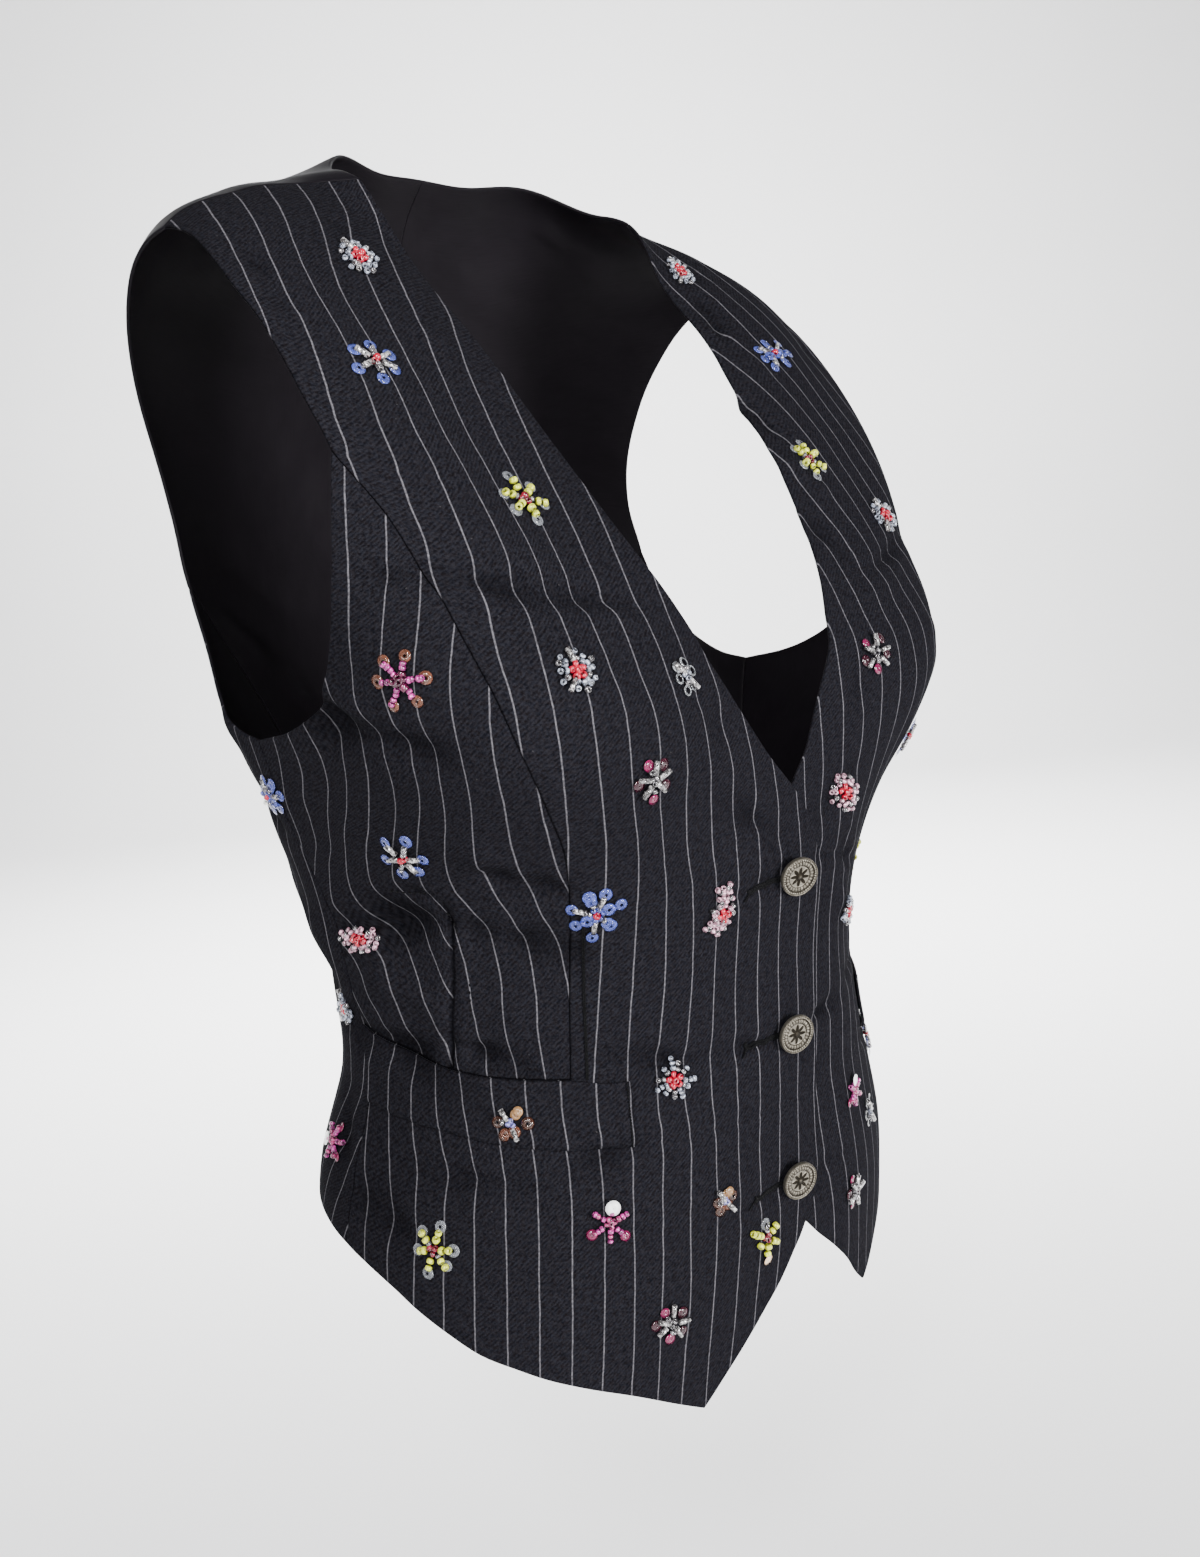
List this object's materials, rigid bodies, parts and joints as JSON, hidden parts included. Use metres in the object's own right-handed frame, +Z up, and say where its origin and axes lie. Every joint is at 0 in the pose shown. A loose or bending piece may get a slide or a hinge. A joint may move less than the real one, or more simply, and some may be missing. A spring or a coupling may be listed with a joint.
{
  "type": "fitted waistcoat",
  "caption": "Fitted sleeveless V-neck waistcoat in its worn form: pinstriped panels with scattered beaded flowers, pointed cutaway hem, waist welts, shank buttons and a plain back.",
  "frame": {"origin": "between the shoulders at the level where the side neck rests on the wearer, midway across and over the side seams", "axes": "+Z up, the front faces -Y, the wearer's right is -X"},
  "size_m": [0.3378, 0.2498, 0.5444],
  "materials": {
    "pinstripe_cloth": "matt charcoal wool twill with fine pale pinstripes and beaded flowers",
    "plain_back_cloth": "plain black back cloth with a faint sheen",
    "antique_silver": "antique silver, darkened in the hollows"
  },
  "bodies": {
    "root": {"front_right": "pinstripe_cloth", "front_left": "pinstripe_cloth", "side_front_right": "pinstripe_cloth", "side_front_left": "pinstripe_cloth", "side_back_right": "pinstripe_cloth", "side_back_left": "pinstripe_cloth", "back_right": "plain_back_cloth", "back_left": "plain_back_cloth", "welt_right": "pinstripe_cloth", "welt_left": "pinstripe_cloth", "button_1": "antique_silver", "button_2": "antique_silver", "button_3": "antique_silver"}
  },
  "joints": []
}
